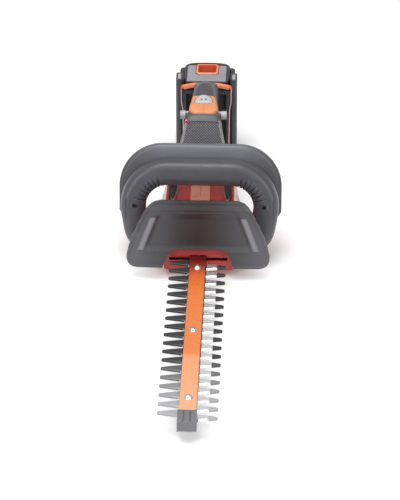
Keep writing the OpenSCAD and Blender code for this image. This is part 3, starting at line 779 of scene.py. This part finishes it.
def hand_guard():
    """The dished guard plate, notched over the blades, and the four posts behind it."""
    rows = [GUARD_LOW, 11.5, 12.2, 13.4, 15.0, 17.0, 19.0, 22.0]
    rows += [22.0 + 2.0 * i for i in range(1, 41)]
    rows += [102.8 + 0.8 * i for i in range(7)]
    rows += [108.6, 110.0, 112.0, 114.0, 116.0, 118.0, 119.4, 120.6, 121.5, GUARD_TOP]
    even = [2 * i / 96 - 1 for i in range(97)]
    spread = [math.sin(math.pi / 2 * s) * 0.35 + s * 0.65 for s in even]
    loops = []
    for w in rows:
        half = table_value(GUARD_SIDE, w)
        across = [half * s for s in spread]
        front = [guard_place(u, w, guard_front(u, w, half)) for u in across]
        back = [guard_place(u, w, guard_front(u, w, half) - GUARD_THICK) for u in across]
        loops.append(front + list(reversed(back)))
    piece = new_piece("hand_guard", *skin(loops, caps=True), "body", "dark_shell", mat_guard, ("guard",))
    opening = rounded_outline([(-62, -12, 1), (62, -12, 1), (55.5, 14, 6), (45, 41, 13), (-45, 41, 13),
                               (-55.5, 14, 6)], 8)
    cut(piece, *prism(opening, -12, 20, guard_place))
    smooth_faces(piece)
    bevel(piece, 0.9, 3, 50)
    posts = [(34 * s, w) for s in (-1, 1) for w in (62, 84)]
    for i, (u, w) in enumerate(posts):
        ring, foot = circle(u, w, 5, 28), circle(u, w, 6.2, 28)
        levels = ((ring, -16), (ring, -3), (foot, -0.6))
        new_piece("guard_post_%d" % i, *stack(levels, guard_place), "body", "dark_shell", mat_dark)


# ---------- front handle ----------

loop_place = leaning_plane(70.0, 30.0, 12.7)


def arc_path(cx, cy, radius, start, end, step=2.0):
    """Points of a circular arc with the outward normal at each, angles in degrees."""
    count = max(2, int(abs(math.radians(end - start)) * radius / step))
    path = []
    for i in range(count + 1):
        angle = math.radians(start + (end - start) * i / count)
        c, s = math.cos(angle), math.sin(angle)
        path.append((cx + radius * c, cy + radius * s, c, s))
    return path


def line_path(x0, y0, x1, y1, step=3.0):
    length = math.dist((x0, y0), (x1, y1))
    nx, ny = (y0 - y1) / length, (x1 - x0) / length
    count = max(1, int(length / step))
    return [(x0 + (x1 - x0) * i / count, y0 + (y1 - y0) * i / count, -nx, -ny) for i in range(count + 1)]


TUBE_HALF, TUBE_DEPTH = 20.5, 22.0
LOOP_TOP, BEND_R = 116.5, 56.0
BEND_U, BEND_W = 50.5, LOOP_TOP - BEND_R


def half_loop():
    """Right half of the tube's centre line, from the body to the top, with outward normals."""
    path = line_path(55.1, 0.5, 71.0, 0.5)
    path += arc_path(71.6, 30.4, 30.0, -88, -10)
    path += line_path(101.6, 27.5, 105.4, 49.0)[1:-1]
    path += arc_path(BEND_U, BEND_W, BEND_R, -9, 90, 0.8)
    path += line_path(BEND_U - 2, LOOP_TOP, 2.0, LOOP_TOP)
    return path


RIB_START, RIB_PITCH, RIB_COUNT = 18.0, 8.8, 7


def rib_depth(u, w, inner):
    """Depth of the moulded grooves across the inside of the two upper bends."""
    if w < BEND_W or abs(u) < BEND_U:
        return 0.0
    angle = math.degrees(math.atan2(w - BEND_W, abs(u) - BEND_U))
    place = (angle - RIB_START) / RIB_PITCH
    if not -0.5 < place < RIB_COUNT - 0.5:
        return 0.0
    off = abs(place - round(place)) * RIB_PITCH
    return 2.0 * (1 - smooth_step(0.5, 2.0, off)) * inner


def front_loop():
    """The bail handle: one swept tube with ribs, pivot holes and seams."""
    section = superellipse(48, 3.0)
    right = half_loop()
    left = [(-u, w, -nu, nw) for u, w, nu, nw in reversed(right)]
    loops = []
    for u, w, nu, nw in right + left:
        ring = []
        for a, b in section:
            inner = smooth_step(-0.30, 0.45, -a)
            groove = rib_depth(u, w, inner)
            reach = a * TUBE_HALF + groove
            ring.append(loop_place(u + nu * reach, w + nw * reach, b * (TUBE_DEPTH - groove)))
        loops.append(ring)
    piece = new_piece("front_loop", *skin(loops, caps=True), "body", "dark_shell", mat_dark,
                      ("loop_bar", "loop_elbows", "loop_arms", "loop_joiners"))
    for side in (-1, 1):
        hole = [(side * 104 + 3.2 * a, 65 + 3.2 * b) for a, b in ((-1, -1), (1, -1), (1, 1), (-1, 1))]
        cut(piece, *prism(hole, 15.5, 30, loop_place))
        for edge in (-1, 1):
            corners = ((0, -28), (0.5, -28), (0.5, 16), (0, 16))
            seam = [(side * 104 + edge * 14 + a, 60 + b) for a, b in corners]
            cut(piece, *prism(seam, 19.4, 30, loop_place))
    smooth_faces(piece)
    modifier(piece, "WEIGHTED_NORMAL", keep_sharp=True)
    split_edges(piece, 40)


def switch_bar():
    """The wide two-hand switch behind the loop, and its two pivot pins."""
    outer = line_path(131, 43, 131, 82, 2) + arc_path(61, 82, 70, 0, 90, 2) + line_path(61, 152, 0, 152, 3)
    spans = []
    for u, w, _, _ in outer:
        if w < 82:
            part = (w - 43) / 39
            spans.append(((u, w), (116.0, 24.0 + 36.0 * part)))
        elif u > 61:
            angle = math.atan2(w - 82, u - 61)
            spans.append(((u, w), (60 + 56 * math.cos(angle), 60 + 56 * math.sin(angle))))
        else:
            spans.append(((u, w), (u * 60 / 61, 116.0)))
    spans += [((-a[0], a[1]), (-b[0], b[1])) for a, b in reversed(spans[:-1])]
    section = superellipse(40, 5.0)
    loops = []
    for (ou, ow), (iu, iw) in spans:
        thin = smooth_step(36.0, 96.0, ow - 16)
        ring = []
        for a, b in section:
            part = (a + 1) / 2
            slope = 0.7 * (1 - part) * thin
            depth = -37.5 + 11.5 * b
            if b > 0:
                depth -= 4.0 * part * part * b
            ring.append(loop_place(iu + (ou - iu) * part, iw + (ow - iw) * part, depth + slope))
        loops.append(ring)
    new_piece("switch_bar_cover", *skin(loops, caps=True), "switch_bar", "dark_shell", mat_bar_dark,
              ("switch_bar",))
    for side in (-1, 1):
        rings = [[loop_place(side * x, 44 + r * c, -36 + r * s) for c, s in circle(0, 0, 1, 24)]
                 for x, r in ((100, 2.0), (100.5, 2.5), (118, 2.5))]
        new_piece("switch_pin_" + side_name(side), *skin(rings, caps=True), "switch_bar", "dark_shell",
                  mat_bright)


# ---------- body ----------

PLAN = ((12, 52), (16, 56), (24, 61), (46, 64), (124, 64), (150, 58), (206, 36))
TOP = ((14, 36), (27, 78), (40, 86), (95, 94), (150, 104), (180, 114), (204, 128))
BELLY = ((14, 10), (30, 10), (40, 4), (204, 4))
FLANK = ((4, 44), (12, 55), (53, 55), (60, 64), (76, 64), (90, 56), (130, 50))
FLANK_LEVELS = (0, 8, 12, 22, 32, 42, 53, 56.5, 60, 65, 70, 76, 80, 85, 90, 100, 110, 120, 130)


def straight_value(table, x):
    if x <= table[0][0]:
        return table[0][1]
    for (x0, v0), (x1, v1) in zip(table, table[1:]):
        if x <= x1:
            return v0 + (v1 - v0) * (x - x0) / (x1 - x0)
    return table[-1][1]


def body_half(side):
    """One half of the orange shell, split at the middle, with a sunken channel along its top."""
    stations = [14.0, 14.6, 16, 18, 20, 22, 24, 26, 27, 28, 31, 34, 37, 40]
    stations += [44 + 4 * i for i in range(41)]
    loops = []
    for y in stations:
        top, low = straight_value(TOP, y), straight_value(BELLY, y)
        sink = 6.0 * smooth_step(30, 38, y)
        plan = straight_value(PLAN, y)
        ring = [(0.1, low), (20, low), (min(plan, straight_value(FLANK, low)) - 1.5, low)]
        for level in FLANK_LEVELS:
            z = min(top - 1.5, max(low + 1.5, level))
            ring.append((min(plan, straight_value(FLANK, z)), z))
        lip = min(50.5, ring[-1][0] - 1.6)
        ring += [(ring[-1][0] - 1.2, top), (lip, top), (lip - 0.6, top - sink), (30, top - sink),
                 (16, top - sink), (0.1, top - sink)]
        loops.append([at(side * x, y, z) for x, z in ring])
    verts, faces = skin(loops, close_loop=False)
    faces.append(tuple(range(len(loops[0]))))
    name = side_name(side)
    piece = new_piece("body_half_" + name, verts, faces, "body", "orange_shell", mat_orange,
                      ("housing_" + name,), smooth=False)
    faces_out = sum(p.normal.x * side * abs(p.center.x) for p in piece.data.polygons)
    if faces_out < 0:
        piece.data.flip_normals()
    modifier(piece, "SOLIDIFY", thickness=2.6 * MM, offset=-1.0, use_even_offset=False)
    apply_all(piece)
    for half, low, high in ((46.5, 26.9, 33.0), (13.3, 23.4, 37.2)):
        cut(piece, *box_mesh(-half, half, 8, 32, low, high))
    # The channel floor beside the spine is painted darker red as painted shade
    paint_faces(piece, mat_channel_shade,
                lambda x, y, z, n: abs(x) < 49.5 and n.z > 0.7 and y > 32 and z > 70)
    # The nose's front faces under the guard are painted dark red as the guard's painted shadow
    paint_faces(piece, mat_nose_shadow, lambda x, y, z, n: y < 26 and n.y < -0.3)
    smooth_faces(piece)
    split_edges(piece, 34)


def spine():
    """Cover strip down the middle of the channel, with a seam, its orange painted pale as a painted
    highlight.
    """
    section = [(-15.6, -7), (-15.6, -1.4), (-14.2, 0), (-0.6, 0.25), (-0.35, -0.6), (0.35, -0.6),
               (0.6, 0.25), (14.2, 0), (15.6, -1.4), (15.6, -7)]
    crest = ((34, 82), (40, 87), (95, 95), (150, 105), (180, 115), (200, 126.6))
    loops = []
    for i in range(42):
        y = 34 + 166 * i / 41
        loops.append([at(x, y, straight_value(crest, y) + z) for x, z in section])
    piece = new_piece("top_spine_cover", *skin(loops, caps=True), "body", "orange_shell", mat_spine_highlight,
                      ("top_spine",), smooth=False)
    bevel(piece, 0.5, 2, 30)


def side_strip(side):
    """A dark inlay beside the spine and the pale trim that shows round it."""
    outline = rounded_outline([(43.5, 92, 1.5), (50.2, 112, 12), (48, 150, 30), (32, 197, 2), (26, 197, 1),
                               (36, 150, 30), (38.6, 116, 12)], 6)
    crest = ((50, 88), (95, 95.0), (150, 105.0), (180, 115.2), (198, 125.6))
    name = side_name(side)

    def place(x, y, depth):
        return at(side * x, y, straight_value(crest, y) + depth)

    crown = inset(outline, 1.1)
    inlay = stack(((outline, -7), (outline, -0.9), (crown, 0)), place)
    new_piece("side_strip_" + name, *inlay, "body", "dark_shell", mat_dark,
              ("side_strips",) if side > 0 else ())
    edge = inset(outline, -0.9)
    trim = stack(((edge, -7), (edge, -2.6), (outline, -2.4)), place)
    new_piece("side_strip_trim_" + name, *trim, "body", "light_plastic", mat_light)


# ---------- rear handle ----------

# Pairs of outer and inner points of the closed handle, seen from the side
HANDLE_PAIRS = (((204.3, 76), (258.5, 98)), ((204.3, 108), (258.2, 112)), ((206, 128), (259, 122)),
                ((219, 146), (261.5, 131)), ((237, 167), (267, 140)), ((254, 173.9), (274, 145.6)),
                ((276, 182), (290, 146.4)), ((300, 187.6), (308, 146.8)), ((322, 187.9), (330, 146.6)),
                ((346, 180), (351, 140)), ((374, 165.4), (371, 125)), ((396, 151.4), (381, 110)),
                ((402, 136), (385, 98)), ((402, 84), (386, 78)), ((402, 30), (384, 58)),
                ((394, 7), (376, 50)), ((340, 6), (338, 49.6)), ((280, 6), (286, 49.6)),
                ((230, 6.4), (272, 53)), ((207, 12), (265, 63)), ((204.3, 40), (261.5, 78)))
GRIP_PLAN = ((203, 45), (216, 38), (232, 32), (246, 29), (262, 26), (290, 21.5), (322, 18.2), (350, 18.5),
             (372, 20), (403, 21))
BASE_PLAN = ((203, 37), (232, 30), (262, 27), (300, 21), (350, 21), (372, 22), (403, 25))


def closed_curve(points, count):
    """Catmull-Rom curve through a closed list of points of any dimension."""
    n = len(points)
    result = []
    for k in range(count):
        place = k * n / count
        i, t = int(place), place - int(place)
        p0, p1, p2, p3 = (points[(i + j) % n] for j in (-1, 0, 1, 2))
        result.append(tuple(0.5 * (2 * b + (c - a) * t + (2 * a - 5 * b + 4 * c - d) * t * t
                                   + (3 * b - a - 3 * c + d) * t ** 3)
                            for a, b, c, d in zip(p0, p1, p2, p3)))
    return result


def on_grip(x, y):
    """Whether a place on the handle lies in the dark middle of the grip, inside its edges that are painted
    paler as a painted highlight.
    """
    return abs(x) < 0.80 * straight_value(GRIP_PLAN, y)


# The pad's seat: its height at SEAT_Y and its slope towards the rear
SEAT_Y, SEAT_Z, SEAT_SLOPE = 239, 165.6, 13 / 35


def seat_level(x, y, depth):
    return at(x, y, SEAT_Z + (y - SEAT_Y) * SEAT_SLOPE + depth)


def rear_handle():
    """The closed handle, swept round its opening, with trigger slot, pad seat and button pocket."""
    stations = closed_curve([outer + inner for outer, inner in HANDLE_PAIRS], 168)
    loops = []
    for oy, oz, iy, iz in stations:
        soft = smooth_step(150, 172, oz) * smooth_step(232, 262, oy)
        power = 5.5 - 3.4 * soft
        ring = []
        for a, b in superellipse(44, power):
            part = (a + 1) / 2
            y, z = iy + (oy - iy) * part, iz + (oz - iz) * part
            high = smooth_step(60, 130, z)
            half = straight_value(GRIP_PLAN, y) * high + straight_value(BASE_PLAN, y) * (1 - high)
            groove = 0.7 if abs(b) < 0.02 and soft > 0.5 else 0.0
            ring.append(at(b * half, y, z - groove * (1 if a > 0 else 0)))
        loops.append(ring)
    piece = new_piece("rear_handle", *skin(loops, close_path=True), "body", "dark_shell", mat_dark,
                      ("handle_right", "handle_left"))
    cut(piece, *box_mesh(-8.6, 8.6, 256, 318, 126, 151.5))
    seat = [(-26, 244.5), (26, 244.5), (26, 284), (-26, 284)]
    cut(piece, *prism(seat, 0, 20, seat_level))
    pocket = [(-16, 262), (16, 262), (16, 283), (-16, 283)]
    cut(piece, *prism(pocket, -3, 6, seat_level))
    cut(piece, *box_mesh(-28, 28, 232.2, 233.2, 160.4, 180))
    smooth_faces(piece)
    paint_faces(piece, mat_grip, lambda x, y, z, n: y < 233 and z > 122 and n.z > 0.3 and on_grip(x, y))
    # The grip's sloping side edges are painted paler as a painted highlight
    paint_faces(piece, mat_grip_edge_highlight,
                lambda x, y, z, n: y < 236 and z > 122 and n.z > 0.05 and not on_grip(x, y))
    split_edges(piece, 42)


PAD_GAP = 0.1


def crest_level(x, y, depth):
    """Just above the sloping seat, with a gentle crown across it."""
    crown = -1.6 * (abs(x) / 25.0) ** 2.4 if depth > 2 else 0
    return seat_level(x, y, PAD_GAP + depth + crown)


def pad_and_button():
    """The orange pad on the handle's crest and the white half-round power button in it."""
    outline = rounded_outline([(-16, 245, 7), (16, 245, 7), (24, 254, 7), (18.2, 282, 5), (-18.2, 282, 5),
                               (-24, 254, 7)], 6)
    outline = resample(outline, 1.6)
    rise = ((0.0, 0.0), (0.0, 3.6), (0.5, 4.6), (1.4, 5.2), (2.6, 5.4))
    solid = stack([(inset(outline, amount), depth) for amount, depth in rise], crest_level)
    pad = new_piece("power_pad", *solid, "body", "orange_shell", mat_pad, ("handle_pad",))
    turns = [math.radians(a) for a in range(0, 181, 6)]
    round_top = [(14.9 * math.cos(turn), 267.0 + 15.6 * math.sin(turn)) for turn in turns]
    button = round_top + [(-14.2, 266), (-12, 265.4), (12, 265.4), (14.2, 266)]
    cut(pad, *prism(inset(button, -0.6), -2, 12, crest_level))
    cut(pad, *prism([(-0.5, 240), (0.5, 240), (0.5, 264), (-0.5, 264)], 4.4, 12, crest_level))
    smooth_faces(pad)
    split_edges(pad, 40)
    rise = ((0.0, 1.2), (0.0, 4.8), (0.5, 5.7), (1.4, 6.2), (2.6, 6.5))
    solid = stack([(inset(button, amount), depth) for amount, depth in rise], crest_level)
    new_piece("power_button_cap", *solid, "power_button", "white_button", mat_white, ("power_button",))
    for i, x in enumerate((-3.4, 3.4)):
        mark = rounded_outline([(x - 1.2, 271, 0.5), (x + 1.2, 271, 0.5), (x + 1.2, 272.6, 0.5),
                                (x - 1.2, 272.6, 0.5)], 4)
        dot = prism(mark, 5.6, 6.85, crest_level)
        new_piece("power_mark_%d" % i, *dot, "power_button", "black_plastic", mat_black)


# ---------- dock and battery ----------

def dock_rim():
    """Arched orange rim over the dock's front and the pale lines down its two edges."""
    arch = rounded_outline([(-43.4, 131, 0), (-43.4, 140, 6), (-22, 144.6, 40), (0, 146.2, 80),
                            (22, 144.6, 40), (43.4, 140, 6), (43.4, 131, 0)], 8, closed=False)
    inner = [(x * 0.955, z - 4.6 if abs(x) < 40 else z - 0.6) for x, z in arch]
    loops = []
    for (x, z), (ix, iz) in zip(arch, inner):
        loops.append([at(x, 402.8, z), at(x, 412, z), at(ix, 412, iz), at(ix, 402.8, iz)])
    rim = new_piece("dock_rim", *skin(loops, caps=True), "body", "orange_shell", mat_orange_pale,
                    ("front_rim",), smooth=False)
    bevel(rim, 0.8, 3, 40)
    for side in (-1, 1):
        line = [(43, 134), (43, 112), (41, 102), (40.2, 92), (39.6, 20)]
        loops = [[at(side * x, 401.4, z), at(side * (x - 1.5), 400.6, z), at(side * (x - 1.5), 404, z),
                  at(side * x, 404, z)] for x, z in line]
        new_piece("dock_line_" + side_name(side), *skin(loops, caps=True), "body", "light_plastic",
                  mat_line, smooth=False)


def battery_top():
    """Rounded black frame round an inset pale lid, both cut out for the release latch."""
    frame_edge = rounded_outline([(-38.5, 417, 9), (38.5, 417, 9), (38.5, 485, 14), (18, 490.6, 60),
                                  (-18, 490.6, 60), (-38.5, 485, 14)], 8)
    inner_edge = rounded_outline([(-34.5, 418.4, 3), (33.5, 418.4, 3), (33.5, 481, 5), (-34.5, 481, 5)], 6)
    latch_room = rounded_outline([(-19.8, 445.4, 5), (19.8, 445.4, 5), (19.8, 485.2, 5),
                                  (-19.8, 485.2, 5)], 6)
    solid = stack(((frame_edge, 142.1), (frame_edge, 143.6), (inset(frame_edge, 1.6), 145.0)))
    ring = new_piece("battery_frame", *solid, "battery", "black_plastic", mat_black, ("battery_lid",),
                     smooth=False)
    cut(ring, *prism(inner_edge, 140, 150))
    cut(ring, *prism(latch_room, 140, 150))
    bevel(ring, 0.4, 2, 40)
    lid_edge = inset(inner_edge, 0.25)
    solid = stack(((lid_edge, 142.1), (lid_edge, 143.4), (inset(inner_edge, 1.4), 144.2)))
    lid = new_piece("battery_lid_plate", *solid, "battery", "lid_grey", mat_lid, smooth=False)
    cut(lid, *prism(latch_room, 140, 150))
    bevel(lid, 0.3, 2, 40)


def release_latch():
    """The battery's release latch: a rimmed orange cap with a deep finger well."""
    outer = rounded_outline([(-19, 447.5, 5), (19, 447.5, 5), (19, 484.5, 5), (-19, 484.5, 5)], 6)
    solid = stack(((outer, 121.5), (outer, 144.0), (inset(outer, 1.0), 144.8)))
    latch = new_piece("release_latch", *solid, "battery_latch", "orange_shell", mat_orange,
                      ("battery_latch",), smooth=False)
    well = rounded_outline([(-15.5, 458, 1), (15.5, 458, 1), (15.5, 480, 3), (-15.5, 480, 3)], 4)
    ledge = rounded_outline([(-15.5, 451.5, 3), (15.5, 451.5, 3), (15.5, 460, 1), (-15.5, 460, 1)], 4)
    cut(latch, *prism(well, 130, 150))
    cut(latch, *prism(ledge, 140.5, 150))
    cut(latch, *skin([[at(x, 451 + 2.6 * c, 125.6 + 2.6 * s) for c, s in circle(0, 0, 1, 28)]
                      for x in (-30, 30)], caps=True))
    bevel(latch, 0.5, 3, 40)
    # Painted shade inside the finger well
    paint_faces(latch, mat_well_shade, lambda x, y, z, n: abs(x) < 15.6 and 457.5 < y < 481 and 129 < z < 143.5)
    # The latch's upward faces are painted pale orange as a painted highlight
    paint_faces(latch, mat_orange_pale, lambda x, y, z, n: n.z > 0.2 and z > 140)


# ---------- carried-over CAD nodes ----------

NODE_SLOT = {part["node"]: part["material_slot"] for part in frame["record"]["subparts"]}
NODE_MATERIAL = {"tip_guard": mat_tip}
for node_name, slot_name in NODE_SLOT.items():
    dress(node_name, NODE_MATERIAL.get(node_name, SLOT_MATERIAL[slot_name]))

# ---------- pieces made here ----------

blade("upper_blade_ground", "upper_blade", UPPER_Z, True)
blade("lower_blade_ground", "lower_blade", LOWER_Z, False)
painted_bar()
hand_guard()
front_loop()
switch_bar()
for half_side in (-1, 1):
    body_half(half_side)
    side_strip(half_side)
spine()
rear_handle()
pad_and_button()
dock_rim()
battery_top()
release_latch()

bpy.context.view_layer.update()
